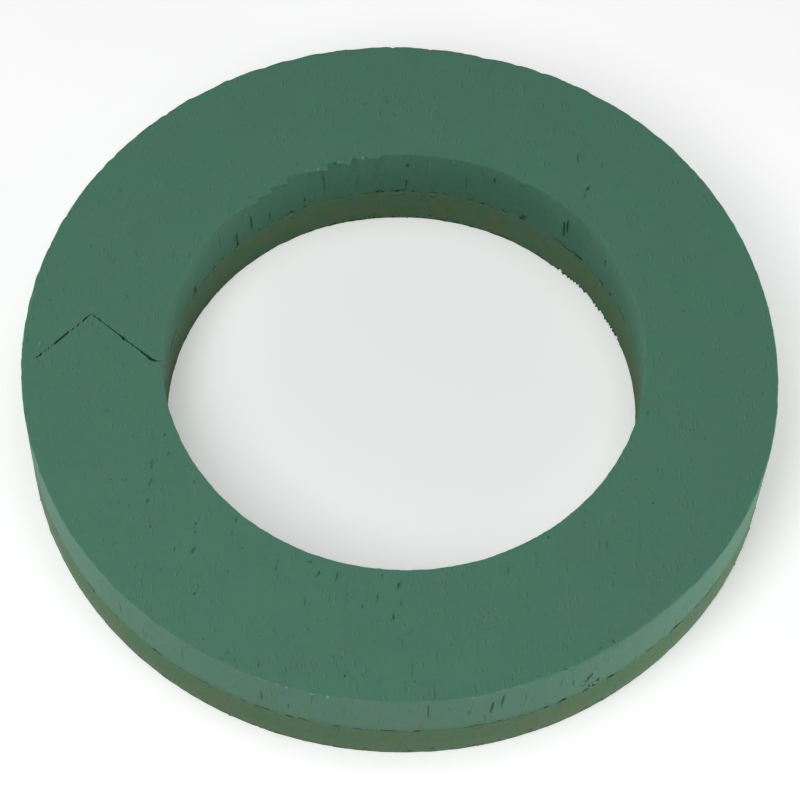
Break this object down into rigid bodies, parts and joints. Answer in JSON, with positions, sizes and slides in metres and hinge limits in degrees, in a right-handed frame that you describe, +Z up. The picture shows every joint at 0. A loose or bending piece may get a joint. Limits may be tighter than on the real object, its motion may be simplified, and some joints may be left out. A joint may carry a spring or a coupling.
{
  "type": "floral foam ring",
  "caption": "Flat ring of water-absorbing floral foam bonded to a rigid foam backing, with a chevron-shaped wire slit through its section, for building wreaths and table rings.",
  "frame": {"origin": "centre of the ring, on the underside of its backing", "axes": "+Z up along the ring's axis, from the backing to the foam; -X towards the slit; -Y towards the viewer"},
  "size_m": [0.3, 0.3, 0.047],
  "materials": {
    "wet_foam": "dull blue-green phenolic floral foam, fine open cells, crumbly and dusty at the cut edges",
    "adhesive": "dark green film of glue between the two foams, slightly satin",
    "backing_foam": "matt olive-green rigid foam with a fine bead pattern, cut with a wire"
  },
  "bodies": {
    "root": {"foam_ring": "wet_foam", "adhesive_layer": "adhesive", "backing_ring": "backing_foam"}
  },
  "joints": []
}
